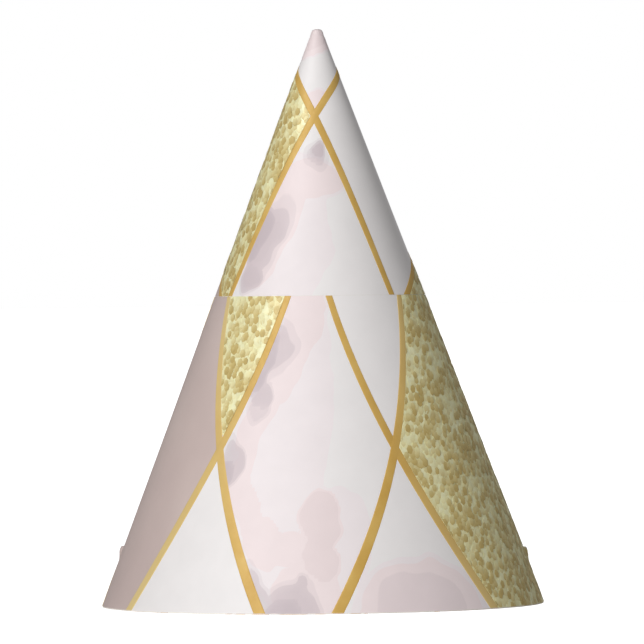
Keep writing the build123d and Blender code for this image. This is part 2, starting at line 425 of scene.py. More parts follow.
# ---- the printed washes ------------
# Each wash: azimuth, z, half width and half height in mm, lean to the right going up in degrees, strength,
# and the share of its size that its edge fades over.
STAINS = (
    (-21.0, 85.0, 5.4, 10.0, 17.0, 0.56, 0.9), (-25.6, 81.5, 4.2, 11.5, 17.0, 1.0, 0.5),
    (-24.6, 70.0, 3.4, 4.6, 10.0, 0.60, 0.5), (-26.3, 65.0, 4.2, 5.0, 10.0, 0.36, 0.4),
    (-31.0, 48.5, 3.3, 9.2, -13.0, 0.60, 0.5), (-32.2, 44.6, 3.1, 6.2, -13.0, 1.0, 0.7),
    (-8.2, 1.0, 10.0, 9.8, 0.0, 0.61, 0.5), (-6.6, 8.0, 2.4, 5.2, -10.0, 0.46, 0.5),
    (-10.2, 0.0, 7.6, 6.4, 0.0, 1.0, 0.7), (-17.0, 8.0, 2.6, 8.5, -27.0, 0.60, 1.2),
    (26.0, 1.0, 17.0, 14.5, -8.0, 0.22, 0.2), (-175.0, 5.0, 5.0, 11.0, 8.0, 0.50, 0.7),
    (-177.5, 1.0, 3.6, 6.0, -10.0, 0.85, 0.6), (-112.0, 4.0, 9.0, 7.0, 10.0, 0.50, 0.7),
    (-108.0, 0.0, 5.0, 5.0, -20.0, 0.85, 0.6), (-107.0, 92.0, 5.0, 10.0, 10.0, 0.50, 0.8),
    (-104.0, 97.0, 3.0, 6.0, -15.0, 0.85, 0.6), (173.0, 86.0, 5.0, 12.0, -10.0, 0.50, 0.8),
    (176.0, 92.0, 3.0, 7.0, -10.0, 0.85, 0.6), (126.0, 7.0, 9.0, 7.0, -10.0, 0.50, 0.7),
    (119.0, 1.0, 5.0, 5.0, 10.0, 0.85, 0.6),
    (-1.5, 148.5, 3.9, 5.8, 0.0, 0.37, 0.7), (0.5, 150.5, 2.4, 3.8, 0.0, 0.72, 0.6),
    (-36.0, 120.5, 5.1, 13.5, 15.0, 0.61, 0.8), (-43.5, 121.5, 3.3, 9.5, 12.0, 1.0, 0.5),
    (-44.0, 108.5, 4.6, 6.0, 0.0, 0.62, 0.6), (165.0, 117.0, 5.0, 9.0, -20.0, 0.50, 0.8),
    (168.0, 120.0, 2.6, 5.0, 0.0, 0.85, 0.6), (108.0, 128.0, 5.0, 9.0, 15.0, 0.50, 0.8),
)
BLUSHES = (
    (-14.5, 57.0, 16.5, 54.0, 0.0, 0.35, 0.2), (-8.0, 96.0, 6.5, 16.0, 10.0, 0.66, 0.3),
    (-17.0, 80.0, 7.6, 15.0, 17.0, 0.66, 0.3), (-25.0, 63.0, 5.4, 14.0, 14.0, 0.66, 0.3),
    (-27.0, 48.0, 4.0, 16.0, 5.0, 0.66, 0.3), (-24.5, 35.0, 5.0, 14.0, -16.0, 0.66, 0.3),
    (-17.5, 22.0, 7.0, 10.0, -30.0, 0.66, 0.3), (-9.0, 20.0, 9.0, 6.0, 0.0, 0.66, 0.3),
    (-4.0, 7.0, 13.0, 11.0, 0.0, 0.66, 0.3), (-0.6, 31.0, 8.0, 10.0, 0.0, 1.0, 0.25),
    (-1.0, 17.3, 7.5, 8.5, 0.0, 0.9, 0.3), (6.0, 24.0, 10.0, 18.0, 0.0, 0.35, 0.2),
    (27.0, 1.0, 24.0, 18.0, -8.0, 0.66, 0.2), (-24.0, 118.0, 15.5, 34.0, 0.0, 0.35, 0.2),
    (-6.0, 141.0, 12.0, 7.5, 0.0, 0.66, 0.3), (-34.0, 124.0, 8.0, 24.0, 12.0, 0.66, 0.3),
    (-5.0, 166.0, 4.0, 4.5, 0.0, 0.66, 0.3), (122.0, 12.0, 14.0, 18.0, 0.0, 0.66, 0.2),
    (-112.0, 10.0, 14.0, 16.0, 0.0, 0.66, 0.3), (176.0, 14.0, 12.0, 18.0, 0.0, 0.66, 0.3),
    (-110.0, 88.0, 12.0, 18.0, 0.0, 0.66, 0.3), (172.0, 86.0, 12.0, 18.0, 0.0, 0.66, 0.3),
    (160.0, 122.0, 14.0, 18.0, 0.0, 0.66, 0.3), (108.0, 126.0, 10.0, 14.0, 0.0, 0.66, 0.3),
)
LOWER_STAINS = [wash for wash in STAINS if wash[1] < BREAK_Z]
LOWER_BLUSHES = [wash for wash in BLUSHES if wash[1] < BREAK_Z]
UPPER_STAINS = [wash for wash in STAINS if wash[1] > BREAK_Z]
UPPER_BLUSHES = [wash for wash in BLUSHES if wash[1] > BREAK_Z]
WASH_WARP = 3.0                 # mm that the noise pushes a wash's edge about
WASH_GRAIN = 13.0               # mm, the size of its lobes
LOBES_FINER = 2.7               # smaller lobes ride on those, this many times finer
LOBES_SHARE = 0.35              # and this much as deep
OTHER_LOBES = Vector((3.0, 9.0, 2.0))
OTHER_WARP = Vector((31.0, 17.0, 5.0))
OUT_OF_SIGHT = 120.0            # degrees round the wall beyond which a wash can't reach

TIP_WASH_Z = 181.5              # the blush on the point starts here
TIP_SLANT = 1.7                 # mm lower at the left, and higher at the right
TIP_EDGE = 0.8                  # mm that its edge fades over
TIP_BLUSH = 0.66
TIP_DEEPER = 0.3                # it deepens by this, over TIP_CLIMB mm from TIP_CLIMB mm above its edge
TIP_CLIMB = 2.0

DUSKY_CELLS = (1, 4)            # lower diamonds that are mauve all over, named by the crossing at their left
DUSKY_LINE = 1                  # upper line beyond which all is mauve
PLAIN_UNDER = LOWER_CROSSINGS[2]                 # no wash in the cell under this crossing
PLAIN_OVER = LOWER_CROSSINGS[3]                  # nor in the one over this
PLAIN_RIGHT_END = 120.0         # azimuth at which the plain cell at the right of the upper tier ends


def wash_depth(washes, azimuth, z):
    """How deep the deepest of these washes is here, from 0 to 1."""
    u, v = to_flat(azimuth, z)
    where = Vector((u / WASH_GRAIN, v / WASH_GRAIN, 0.0))
    finer = where * LOBES_FINER
    u += WASH_WARP * (noise.noise(where) + LOBES_SHARE * noise.noise(finer + OTHER_LOBES))
    v += WASH_WARP * (noise.noise(where + OTHER_WARP) + LOBES_SHARE * noise.noise(finer))
    deepest = 0.0
    for wash_azimuth, wash_z, half_width, half_height, lean, strength, edge in washes:
        if abs(wash_azimuth - azimuth) > OUT_OF_SIGHT:
            continue
        centre_u, centre_v = to_flat(wash_azimuth, wash_z)
        turn = math.atan2(centre_u, centre_v) - math.radians(lean)
        across = (u - centre_u) * math.cos(turn) - (v - centre_v) * math.sin(turn)
        along = (u - centre_u) * math.sin(turn) + (v - centre_v) * math.cos(turn)
        far = math.hypot(across / half_width, along / half_height)
        deepest = max(deepest, strength * clamped((1 + edge / 2 - far) / edge))
    return deepest


def in_lower_cell(azimuth, z, index):
    """True in the diamond between crossing `index` and the next one."""
    left, right = LOWER_CROSSINGS[index], LOWER_CROSSINGS[index + 1]
    return (max(lower_line(left, 1, z), lower_line(left, -1, z)) < azimuth
            < min(lower_line(right, 1, z), lower_line(right, -1, z)))


def upper_side(line, azimuth, z):
    """Positive beyond an upper line, away from the apex."""
    foot, distance = UPPER_LINES[line]
    u, v = to_flat(azimuth, z)
    return u * math.sin(math.radians(foot)) + v * math.cos(math.radians(foot)) - distance


def paint_lower(azimuth, z):
    tag = {"dusk": 0.0, "stain": 0.0, "blush": 0.0}
    if any(in_lower_cell(azimuth, z, index) for index in DUSKY_CELLS):
        tag["dusk"] = 1.0
        return tag
    under = z < CROSS_Z and lower_line(PLAIN_UNDER, 1, z) < azimuth < lower_line(PLAIN_UNDER, -1, z)
    over = z > CROSS_Z and lower_line(PLAIN_OVER, -1, z) < azimuth < lower_line(PLAIN_OVER, 1, z)
    if not under and not over:
        tag["stain"] = wash_depth(LOWER_STAINS, azimuth, z)
        tag["blush"] = wash_depth(LOWER_BLUSHES, azimuth, z)
    return tag


def paint_upper(azimuth, z):
    tag = {"dusk": 0.0, "stain": 0.0, "blush": 0.0}
    if upper_side(DUSKY_LINE, azimuth, z) > 0:
        tag["dusk"] = 1.0
        return tag
    right_cell = upper_side(0, azimuth, z) < 0 and upper_side(3, azimuth, z) > 0 and azimuth > 0
    if not right_cell or azimuth > PLAIN_RIGHT_END:
        tag["stain"] = wash_depth(UPPER_STAINS, azimuth, z)
        tag["blush"] = wash_depth(UPPER_BLUSHES, azimuth, z)
    above = z - TIP_WASH_Z - TIP_SLANT * math.sin(math.radians(azimuth))
    depth = TIP_BLUSH + TIP_DEEPER * clamped((above - TIP_CLIMB) / TIP_CLIMB)
    tag["blush"] = max(tag["blush"], depth * clamped(above / TIP_EDGE))
    return tag


# ---- slits and lips ------------
def slit_local(slit, azimuth, z):
    """Millimetres across and up the wall from the middle of a slit."""
    slit_azimuth, slit_z = slit
    return math.radians(azimuth - slit_azimuth) * radius_at(z), (z - slit_z) / math.cos(HALF_ANGLE)


ROUNDING = 0.001                # takes in the row that lies on the slit itself


def lip_rise(azimuth, z):
    """How far the lips under the slits stand proud of the wall here; their free edge droops a little."""
    for slit in SLITS:
        x, y = slit_local(slit, azimuth, z)
        aside, down = abs(x) / (LIP_WIDTH / 2), -y / LIP_LENGTH
        if aside < 1 and -ROUNDING < down < 1:
            fall = clamped((down - LIP_CREST) / (1 - LIP_CREST))
            droop = 1 - LIP_DROOP * max(0.0, 1 - down / LIP_DROOP) ** 2
            return LIP_RISE * droop * (1 - aside ** 2) ** LIP_ARCH * (1 - eased(fall))
    return 0.0


def place_on_lip(azimuth, z, offset):
    """Like place(), but following the lips under the slits."""
    return place(azimuth, z, offset + lip_rise(azimuth, z))


def in_slit(azimuth, z):
    for slit in SLITS:
        x, y = slit_local(slit, azimuth, z)
        if abs(x) < LIP_WIDTH / 2 and 0 < y < SLIT_GAP:
            return True
    return False


# ---- covers and card ------------
WALL_COLUMNS = 400
LOWER_ROWS, UPPER_ROWS, CARD_ROWS = 88, 80, 80
LIP_COLUMNS, LIP_ROWS = 16, 18
POINT_COLUMNS = 72
POINT_AZIMUTHS = steps(-180, 180, POINT_COLUMNS)[:-1]
# how close to a placed row or column, in mm or degrees, the regular ones are dropped
CLEAR_OF_LIP, CLEAR_OF_LIP_ROW, CLEAR_OF_SLIT, CLEAR_OF_ROW = 0.15, 0.3, 0.12, 0.2


def merged(base, extra, apart):
    """The extra stations, with those of the base that aren't crowded by them."""
    return sorted([value for value in base if all(abs(value - e) > apart for e in extra)] + extra)


def wall_azimuths(with_slits):
    """Azimuths round the wall, from seam to seam, with closer ones over the lips."""
    base = steps(-180, 180, WALL_COLUMNS)
    if not with_slits:
        return base
    extra = [azimuth + math.degrees(x / radius_at(z)) for azimuth, z in SLITS
             for x in steps(-LIP_WIDTH / 2, LIP_WIDTH / 2, LIP_COLUMNS)]
    return merged(base, extra, CLEAR_OF_LIP)


def wall_heights(low, high, count, with_slits):
    base = steps(low, high, count)
    if not with_slits:
        return base
    drop = math.cos(HALF_ANGLE)
    slit_rows = [z + rise * drop for _, z in SLITS for rise in (0.0, SLIT_GAP)]
    lowest, highest = min(slit_rows) - LIP_LENGTH * drop, max(slit_rows)
    return merged(merged(base, steps(lowest, highest, LIP_ROWS), CLEAR_OF_LIP_ROW), slit_rows, CLEAR_OF_SLIT)


def wall(solids, low, high, count, inner, outer, paint, with_slits=False, rows=()):
    """Adds one layer between two offsets, tagged by paint(azimuth, z); `rows` are extra heights."""
    azimuths = wall_azimuths(with_slits)
    heights = merged(wall_heights(low, high, count, with_slits), list(rows), CLEAR_OF_ROW)
    outside, inside, tags = [], [], []
    for z in heights:
        row = [drawn_in(azimuth, z) for azimuth in azimuths]
        rises = [lip_rise(azimuth, z) if with_slits else 0.0 for azimuth in row]
        outside.append([place(azimuth, z, outer + rise) for azimuth, rise in zip(row, rises)])
        inside.append([place(azimuth, z, inner + rise) for azimuth, rise in zip(row, rises)])
        tags.append([paint(azimuth, z) for azimuth in row])

    def keep(r, c):
        return not in_slit((azimuths[c] + azimuths[c + 1]) / 2, (heights[r] + heights[r + 1]) / 2)
    solids.sheet(outside, inside, tags, keep if with_slits else None)


def cover_lower():
    solids = Solids()
    wall(solids, HEM_Z, LOWER_TOP_Z, LOWER_ROWS, CARD_OUT, 0.0, paint_lower, with_slits=True)
    solids.piece("cover_lower_print", PRINT, "printed_lower", "cover_lower")


NOSE_FILLET = 1.25
NOSE_SIDE_ROWS, NOSE_ROUND_ROWS = 8, 6
NOSE_TOP = (0.6, 0.15)          # rings across the flat top, as shares of its radius
NOSE_THICKNESS = 0.1            # share of the radius
CRUSH = 0.22                    # mm that the point is squashed out of round
CRUSH_TURNS, CRUSH_CLIMB = 1.3, 0.7              # how closely its dents lie, round it and going up
CRUSH_START = 3.0               # mm over which it sets in
CRUSH_WANES = 1.4               # radius in mm below which it wanes


def point_profile():
    """Radius and height of each ring of the point, from the top of the seam to near the axis."""
    middle_r = radius_at(TOP_Z) - NOSE_FILLET * math.tan((math.pi / 2 - HALF_ANGLE) / 2)
    middle_z = TOP_Z - NOSE_FILLET
    straight_top = middle_z + NOSE_FILLET * math.sin(HALF_ANGLE)
    profile = [(radius_at(z), z) for z in steps(SEAM_TOP_Z, straight_top, NOSE_SIDE_ROWS)]
    profile += [(middle_r + NOSE_FILLET * math.cos(t), middle_z + NOSE_FILLET * math.sin(t))
                for t in steps(HALF_ANGLE, math.pi / 2, NOSE_ROUND_ROWS)[1:]]
    return profile + [(middle_r * share, TOP_Z) for share in NOSE_TOP]


def crushed(r, z, azimuth):
    turn = math.radians(azimuth)
    where = Vector((math.sin(turn) * CRUSH_TURNS, math.cos(turn) * CRUSH_TURNS, z * CRUSH_CLIMB))
    r += CRUSH * noise.noise(where) * min(1.0, (z - SEAM_TOP_Z) / CRUSH_START, r / CRUSH_WANES)
    return Vector((r * math.sin(turn), -r * math.cos(turn), z)) * MM


def cover_upper():
    """The upper sheet, and the blunt, slightly crushed point that closes it."""
    solids = Solids()
    wall(solids, UPPER_LOW_Z, SEAM_TOP_Z, UPPER_ROWS, CARD_OUT, 0.0, paint_upper)
    profile = point_profile()
    rows = [[crushed(r, z, azimuth) for azimuth in POINT_AZIMUTHS] for r, z in profile]
    thin = 1 - NOSE_THICKNESS
    inner = [[Vector((p.x * thin, p.y * thin, min(p.z, card_high.z))) for p in row] for row in rows]
    tags = [[paint_upper(azimuth, min(z, TOP_Z)) for azimuth in POINT_AZIMUTHS] for _, z in profile]
    solids.sheet(rows, inner, tags, round_trip=True)
    close_point(solids, len(rows), tags[-1][0])
    solids.piece("cover_upper_print", PRINT, "printed_upper", "cover_upper")


def close_point(solids, rings, tag):
    """Caps the last ring of the point with a fan, outside and inside, in place of the band between them."""
    base = len(solids.verts)
    solids.verts.extend([Vector((0, 0, TOP_Z * MM)), Vector((0, 0, card_high.z))])
    solids.tags.extend([tag, tag])
    outer = base - (rings + 1) * POINT_COLUMNS
    inner = base - POINT_COLUMNS
    pairs = [(i, (i + 1) % POINT_COLUMNS) for i in range(POINT_COLUMNS)]
    band = {frozenset((outer + i, outer + j, inner + i, inner + j)) for i, j in pairs}
    solids.faces = [face for face in solids.faces if frozenset(face) not in band]
    for i, j in pairs:
        solids.faces.append((outer + i, outer + j, base))
        solids.faces.append((inner + j, inner + i, base + 1))


# Ink that runs round the raw edge at the hem: first and last azimuth, and the kind of ink.
MAUVE_INK, GOLD_INK = 0.5, 1.0
RIM_BLEED = ((-62.0, -46.5, MAUVE_INK), (-46.5, -44.0, GOLD_INK), (29.3, 31.5, GOLD_INK),
             (31.5, 53.0, MAUVE_INK), (128.0, 150.0, MAUVE_INK), (-158.0, -132.0, MAUVE_INK))
RIM_DASHES = (-26.0, 11.0)      # between these the ink comes in short gold dashes
DASH_TURN, DASH_LEVEL = 2.3, -0.05
RIM_ROW_Z = 0.45                # the ink fades out by this height


def paint_rim(azimuth, z):
    if z > RIM_ROW_Z / 2:
        return {"bleed": 0.0}
    for first, last, ink in RIM_BLEED:
        if first < azimuth < last:
            return {"bleed": ink}
    inked = noise.noise(Vector((azimuth / DASH_TURN, 4.0, 1.0))) > DASH_LEVEL
    return {"bleed": GOLD_INK if inked and RIM_DASHES[0] < azimuth < RIM_DASHES[1] else 0.0}


# The glue tab grows out of the inside of the wall and eases inwards to its place behind the tape.
TAB_ROOT, TAB_END = 177.5, 189.5                 # azimuths
TAB_COLUMNS = [177.6, 178.2, 178.5, 178.8, 179.1, 179.4, 179.7] + steps(180.0, TAB_END, 12)
TAB_ROWS = 60
TAB_THICKENS = 1.4              # degrees over which it reaches the thickness of the card
TAB_STEP_START, TAB_STEP = 178.0, 1.6            # degrees where and over which it steps inwards
PLUG_BORE = 0.05                # the plug in the point is closed but for this share of its radius


def tab_faces(azimuth):
    """Offsets of the tab's outer and inner face."""
    outer = CARD_IN + (TAB_OUT - CARD_IN) * eased(clamped((azimuth - TAB_STEP_START) / TAB_STEP))
    return outer, outer - CARD * min(1.0, (azimuth - TAB_ROOT) / TAB_THICKENS)


def card_cone():
    solids = Solids()
    wall(solids, 0.0, CARD_CEILING_Z, CARD_ROWS, CARD_IN, CARD_OUT, paint_rim, with_slits=True,
         rows=[RIM_ROW_Z])
    plug = [[place(azimuth, z, CARD_OUT) for azimuth in POINT_AZIMUTHS]
            for z in (CARD_CEILING_Z, card_high.z / MM)]
    core = [[Vector((p.x * PLUG_BORE, p.y * PLUG_BORE, p.z)) for p in row] for row in plug]
    solids.sheet(plug, core, round_trip=True)
    heights = steps(TAB_BOTTOM_Z, TAB_TOP_Z, TAB_ROWS)
    solids.sheet([[place(a, z, tab_faces(a)[0]) for a in TAB_COLUMNS] for z in heights],
                 [[place(a, z, tab_faces(a)[1]) for a in TAB_COLUMNS] for z in heights])
    solids.piece("card_wall", CARD_BOARD, "card", "card_cone")


# ---- foil lines ------------
# The tracks that a line is made of: place across it, in shares of its width, and share of its rise there.
FOIL_TRACKS = ((-0.5, 0.0), (-0.46, 0.8), (-0.40, 1.0), (0.0, 1.0), (0.40, 1.0), (0.46, 0.8), (0.5, 0.0))
FOIL_EDGE = 0.004               # mm thick at its edges
FOIL_RISE = FOIL - 0.03         # mm more in its middle
FOIL_ROWS = 96
UPPER_ROWS_PER_MM, FEWEST_ROWS = 1.3, 12
NARROWEST = 0.05                # degrees; what the seam leaves of a line is dropped below this
CROSS_LIFT = 0.02               # mm, the line on top at a crossing stands this much higher
CROSS_INSET = 0.02              # degrees, and ends this much sooner at the seam
TOP_LINES = 3                   # the upper lines from this one on lie over the others
SEAM_CLEAR = 0.35               # degrees of the flat blank between an upper line's end and its edge


def foil_strip(solids, rows, lift):
    """rows holds, for each station, the (azimuth, z) of every track."""
    rises = [FOIL_EDGE + (FOIL_RISE + lift) * share for _, share in FOIL_TRACKS]
    top = [[place(a, z, rise) for (a, z), rise in zip(row, rises)] for row in rows]
    bottom = [[place(a, z, 0.0) for a, z in row] for row in rows]
    solids.sheet(top, bottom)


def lower_strip(solids, crossing, side):
    rows = []
    for z in steps(HEM_Z, LOWER_TOP_Z, FOIL_ROWS):
        edge = seam_azimuth(z) - (CROSS_INSET if side > 0 else 0.0)
        middle, half = lower_line(crossing, side, z), lower_half_turn(crossing, z)
        left, right = max(-edge, middle - half), min(edge, middle + half)
        if right - left > NARROWEST:
            rows.append([(left + (right - left) * (across + 0.5), z) for across, _ in FOIL_TRACKS])
    foil_strip(solids, rows, CROSS_LIFT if side > 0 else 0.0)


def upper_strip(solids, foot, distance, lift):
    """A line that is straight on the flat blank, from the blank's edge to the break between the tiers."""
    side = 1 if foot > 0 else -1
    far = (APEX_Z - UPPER_LOW_Z) / math.cos(HALF_ANGLE)
    seam_turn = math.radians(side * (BLANK_EDGE - SEAM_CLEAR) - foot)
    count = max(FEWEST_ROWS, round(math.sqrt(far ** 2 - distance ** 2) * UPPER_ROWS_PER_MM))
    foot_turn = math.radians(foot)
    rows = []
    for i in range(count + 1):
        row = []
        for across, _ in FOIL_TRACKS:
            reach = distance + across * UPPER_WIDTH
            first = math.asinh(math.tan(seam_turn))
            last = -side * math.asinh(math.sqrt(far ** 2 - reach ** 2) / reach)
            run = reach * math.sinh(first + (last - first) * i / count)
            u = reach * math.sin(foot_turn) + run * math.cos(foot_turn)
            v = reach * math.cos(foot_turn) - run * math.sin(foot_turn)
            row.append(from_flat(u, v))
        rows.append(row)
    if side > 0:
        rows.reverse()              # so that its outer face looks outwards
    foil_strip(solids, rows, lift)


# where the painted sheen on the lower foil lines sets in, is full, wanes and ends
SHEEN_STARTS, SHEEN_FULL = 26.0, 60.0              # degrees either side of the front
SHEEN_WANES, SHEEN_ENDS = 90.0, 130.0


def foil_painted_sheen(point):
    """How much painted sheen the lower lines get at a point: they are painted a paler gold towards both
    sides of the hat, standing in for light glancing off the foil there.
    """
    azimuth = abs(math.degrees(math.atan2(point[0], -point[1])))
    rising = (azimuth - SHEEN_STARTS) / (SHEEN_FULL - SHEEN_STARTS)
    falling = (SHEEN_ENDS - azimuth) / (SHEEN_ENDS - SHEEN_WANES)
    return max(0.0, min(1.0, rising, falling))


def foil_nets():
    lower = Solids()
    for crossing in LOWER_CROSSINGS:
        for side in (-1, 1):
            lower_strip(lower, crossing, side)
    lines = lower.piece("foil_lines_lower", GOLD_FOIL, "gold_foil", "foil_net_lower")
    # painted sheen: for each point of the lower lines, how much paler gold it is painted
    painted_sheen = lines.data.attributes.new("painted_sheen", "FLOAT", "POINT")
    painted_sheen.data.foreach_set("value", [foil_painted_sheen(vertex.co) for vertex in lines.data.vertices])
    upper = Solids()
    for index, (foot, distance) in enumerate(UPPER_LINES):
        upper_strip(upper, foot, distance, CROSS_LIFT if index >= TOP_LINES else 0.0)
    upper.piece("foil_lines_upper", GOLD_FOIL, "gold_foil", "foil_net_upper")


# ---- glitter panels ------------
FILM = 0.05                     # mm thick
FILM_ROWS, FILM_COLUMNS = 100, 72
LEVELS, NARROWEST_CELL = 400, 0.3                # a cell is filled where it is wider than this, in degrees


def lower_edge(index, end, z):
    """Azimuth where a lower cell ends beside a crossing; end is +1 for its right side, -1 for its left."""
    crossing = LOWER_CROSSINGS[index]
    spread = crossing[1] * abs(z - CROSS_Z)
    return crossing[0] + end * (spread + lower_half_turn(crossing, z))


def diamond(index):
    """Bounds of the cell between crossing `index` and the next one."""
    def bounds(z):
        return lower_edge(index, 1, z), lower_edge(index + 1, -1, z)
    return bounds


def wedge(index):
    """Bounds of the cell over crossing `index`."""
    def bounds(z):
        crossing = LOWER_CROSSINGS[index]
        spread = crossing[1] * (z - CROSS_Z) - lower_half_turn(crossing, z)
        return crossing[0] - spread, crossing[0] + spread
    return bounds


def upper_turn(line, end, z):
    """Azimuth where an edge of an upper line, given as (index, side), crosses a level, or None; end is -1
    for the left one of its two crossings and 1 for the right one."""
    foot, distance = UPPER_LINES[line[0]]
    slant = (APEX_Z - z) / math.cos(HALF_ANGLE)
    reach = distance + line[1] * UPPER_WIDTH / 2
    if slant <= reach:
        return None
    return (foot + end * math.degrees(math.acos(reach / slant))) / math.sin(HALF_ANGLE)


def upper_left(z):
    left = upper_turn((1, -1), 1, z)
    seam = -seam_azimuth(z)
    left = seam if left is None else max(seam, left)
    low = upper_turn((5, -1), 1, z)
    if low is not None:
        left = max(left, low)
    right = upper_turn((0, 1), 1, z)
    if right is None:
        return 0, 0
    return left, min(right, upper_turn((3, -1), -1, z))


def upper_right(z):
    left = upper_turn((4, 1), -1, z)
    right = upper_turn((2, -1), -1, z)
    if left is None:
        return 0, 0
    seam = seam_azimuth(z)
    return left, seam if right is None else min(seam, right)


PANELS = (
    ("glitter_wedge_front", wedge(2), HEM_Z, LOWER_TOP_Z),
    ("glitter_wedge_right", wedge(4), HEM_Z, LOWER_TOP_Z),
    ("glitter_diamond_right", diamond(3), HEM_Z, LOWER_TOP_Z),
    ("glitter_diamond_back", diamond(0), HEM_Z, LOWER_TOP_Z),
    ("glitter_upper_left", upper_left, UPPER_LOW_Z, SEAM_TOP_Z),
    ("glitter_upper_right", upper_right, UPPER_LOW_Z, SEAM_TOP_Z),
)


def filled(bounds, low, high):
    """The lowest and highest level at which a cell is filled."""
    levels = [z for z in steps(low, high, LEVELS) if bounds(z)[1] - bounds(z)[0] > NARROWEST_CELL]
    return levels[0], levels[-1]


def add_film(solids, bounds, low, high):
    """The film under the flakes, as a grid between the cell's edges, open over the slits."""
    slit_rows = [z + rise for _, z in SLITS for rise in (0.0, SLIT_GAP * math.cos(HALF_ANGLE))
                 if low < z < high]
    heights = merged(steps(low, high, FILM_ROWS), slit_rows, CLEAR_OF_SLIT)
    points = [[(a, z) for a in steps(*bounds(z), FILM_COLUMNS)] for z in heights]

    def keep(r, c):
        corners = points[r][c], points[r + 1][c + 1]
        return not in_slit(sum(a for a, _ in corners) / 2, sum(z for _, z in corners) / 2)
    solids.sheet([[place_on_lip(a, z, FILM) for a, z in row] for row in points],
                 [[place_on_lip(a, z, 0.0) for a, z in row] for row in points], keep=keep)


def clip(polygon, inside):
    """Cuts a convex polygon of flat points to where inside(point) is positive."""
    kept = []
    for i, point in enumerate(polygon):
        following = polygon[(i + 1) % len(polygon)]
        here, there = inside(point), inside(following)
        if here > 0:
            kept.append(point)
        if here * there < 0:
            share = here / (here - there)
            kept.append(tuple(a + (b - a) * share for a, b in zip(point, following)))
    return kept


def trim_at_slits(shape, middle):
    """Cuts a flake that reaches across a slit."""
    half = SLIT_GAP / 2
    for slit in SLITS:
        x, y = slit_local(slit, *from_flat(*middle))
        if abs(x) < LIP_WIDTH / 2 + FLAKE_SIZE and abs(y) < 2 * FLAKE_SIZE:
            side = 1 if y > half else -1
            return clip(shape, lambda p: side * (slit_local(slit, *from_flat(*p))[1] - half) - half)
    return shape


# For each layer: pitch and jitter in mm, lightest and darkest tone, share of the flakes that are there, and
# how much that share varies by patches.
FLAKE_LAYERS = (
    (2.05, 0.65, 0.0, 0.50, 1.0, 0.0),
    (2.25, 0.70, 0.20, 0.85, 0.47, 0.5),
    (2.25, 0.65, 0.60, 1.0, 0.44, 0.7),
)
LAYER_SHIFT = 0.4               # each layer starts this share of its pitch further along
PATCH = 9.0                     # mm, the size of the patches
FLAKE_SIZE = 1.12               # mm, centre to corner
SMALLEST, LARGEST = 0.82, 1.08  # shares of that
FLAKE_STRETCH = 1.45            # taller than wide
FLAKE_THICK = 0.03
FLAKE_BED = 0.03                # mm from the film to the first layer of flakes
FLAKE_STEP = 0.07               # mm, from one layer of flakes to the next
FLAKE_TILT = 0.03               # steepest slope of a flake, each way
# painted shade: a flake's lower right is painted darker than its middle
FLAKE_SHADE = 0.16              # how much darker a flake's lower right is than its middle
SHADE_RIGHT, SHADE_DOWN = 0.5, 0.86
OVERHANG = 1.5                  # degrees; a flake's middle may lie this far outside the cell
MM_TO_EDGE = 2                  # a millimetre to the cell's top or bottom counts as so many degrees
OUTLINE_ROWS = 40


def add_flake(verts, faces, tones, shape, middle, size, tilt, height, tone):
    """One flake as a thin closed solid, with an extra point in the middle of each face."""
    count = len(shape)
    heart = (sum(p[0] for p in shape) / count, sum(p[1] for p in shape) / count)
    base = len(verts)
    under = base + count + 1
    for lift in (FLAKE_THICK, 0.0):
        for p in shape + [heart]:
            right, down = p[0] - middle[0], p[1] - middle[1]
            verts.append(place_on_lip(*from_flat(*p), height + (right * tilt[0] + down * tilt[1]) + lift))
            # painted shade: the tone at each point darkens towards the flake's lower right
            shade = (SHADE_RIGHT * right + SHADE_DOWN * down) / size
            tones.append(clamped(tone + FLAKE_SHADE * shade))
    for k in range(count):
        n = (k + 1) % count
        faces.append((base + n, base + k, base + count))
        faces.append((under + k, under + n, under + count))
        faces.append((base + k, base + n, under + n, under + k))


def flakes(name, bounds, low, high, seed):
    """Hexagonal flakes strewn over the cell in three layers, trimmed along its edges."""
    draw = random.Random(seed)
    verts, faces, tones = [], [], []

    def inside(point):
        azimuth, z = from_flat(*point)
        left, right = bounds(min(high, max(low, z)))
        return min(azimuth - left, right - azimuth, (z - low) * MM_TO_EDGE, (high - z) * MM_TO_EDGE)
    outline = [to_flat(a, z) for z in steps(low, high, OUTLINE_ROWS) for a in bounds(z)]
    u_low, u_high = min(p[0] for p in outline), max(p[0] for p in outline)
    v_low, v_high = min(p[1] for p in outline), max(p[1] for p in outline)
    for layer, (pitch, jitter, lightest, darkest, share, variation) in enumerate(FLAKE_LAYERS):
        height = FILM + FLAKE_BED + layer * FLAKE_STEP
        row = 0
        v = v_low
        while v < v_high:
            u = u_low + (row % 2) * pitch / 2 + layer * pitch * LAYER_SHIFT
            while u < u_high:
                middle = (u + draw.uniform(-jitter, jitter), v + draw.uniform(-jitter, jitter))
                size = FLAKE_SIZE * draw.uniform(SMALLEST, LARGEST)
                spin = draw.uniform(0, math.pi / 3)
                tilt = draw.uniform(-FLAKE_TILT, FLAKE_TILT), draw.uniform(-FLAKE_TILT, FLAKE_TILT)
                tone = draw.uniform(lightest, darkest)
                patch = noise.noise(Vector((u / PATCH, v / PATCH, 3.0)))
                shown = draw.random() < share + variation * patch
                u += pitch
                if not shown or inside(middle) < -OVERHANG:
                    continue
                tall = size * FLAKE_STRETCH
                shape = [(middle[0] + size * math.cos(turn), middle[1] + tall * math.sin(turn))
                         for turn in (spin + k * math.pi / 3 for k in range(6))]
                shape = trim_at_slits(clip(shape, inside), middle)
                if len(shape) >= 3:
                    add_flake(verts, faces, tones, shape, middle, size, tilt, height, tone)
            v += pitch * math.sqrt(3) / 2
            row += 1
    piece = new_piece(name, verts, faces, FLAKES, "gold_glitter")
    piece.data.attributes.new("tone", "FLOAT", "POINT").data.foreach_set("value", tones)


